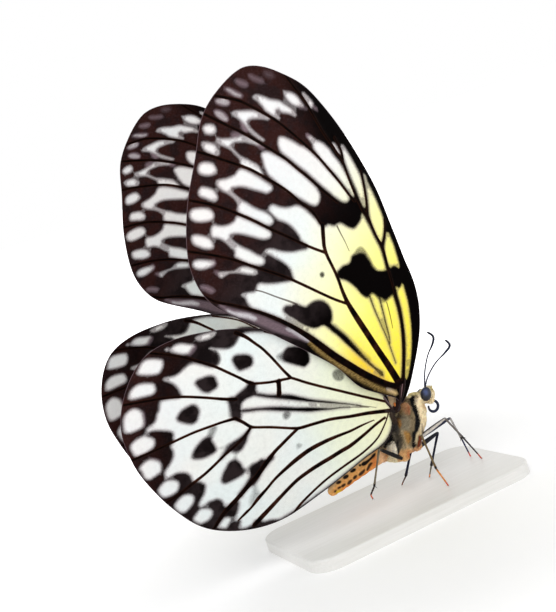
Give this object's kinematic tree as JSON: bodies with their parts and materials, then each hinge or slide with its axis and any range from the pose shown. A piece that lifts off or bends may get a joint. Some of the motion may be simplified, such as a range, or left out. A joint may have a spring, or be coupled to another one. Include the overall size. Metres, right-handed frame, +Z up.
{
  "type": "paper kite butterfly",
  "caption": "Life-size still model of a paper kite butterfly, standing on a flat base with its black, white and yellow wings raised over its back.",
  "frame": {"origin": "centre of the stand base's underside, on the surface that the part rests on", "axes": "+X the way the butterfly heads, +Y its left, +Z up"},
  "size_m": [0.0737, 0.059, 0.092],
  "materials": {
    "stand": "satin",
    "body_scales": "matte, hairy",
    "abdomen_scales": "matte, short scales",
    "head_scales": "matte, hairy",
    "eye_lens": "glossy",
    "proboscis_cuticle": "satin",
    "antenna_cuticle": "satin",
    "leg_cuticle": "satin",
    "forewing_membrane": "matte, scaled",
    "hindwing_membrane": "matte, scaled"
  },
  "bodies": {
    "root": {"stand_base": "stand", "thorax": "body_scales", "abdomen": "abdomen_scales", "head": "head_scales", "proboscis": "proboscis_cuticle", "eye_left": "eye_lens", "palp_left": "head_scales", "antenna_left": "antenna_cuticle", "foreleg_left": "leg_cuticle", "midleg_left": "leg_cuticle", "hindleg_left": "leg_cuticle", "forewing_left": "forewing_membrane", "hindwing_left": "hindwing_membrane", "eye_right": "eye_lens", "palp_right": "head_scales", "antenna_right": "antenna_cuticle", "foreleg_right": "leg_cuticle", "midleg_right": "leg_cuticle", "hindleg_right": "leg_cuticle", "forewing_right": "forewing_membrane", "hindwing_right": "hindwing_membrane"}
  },
  "joints": []
}
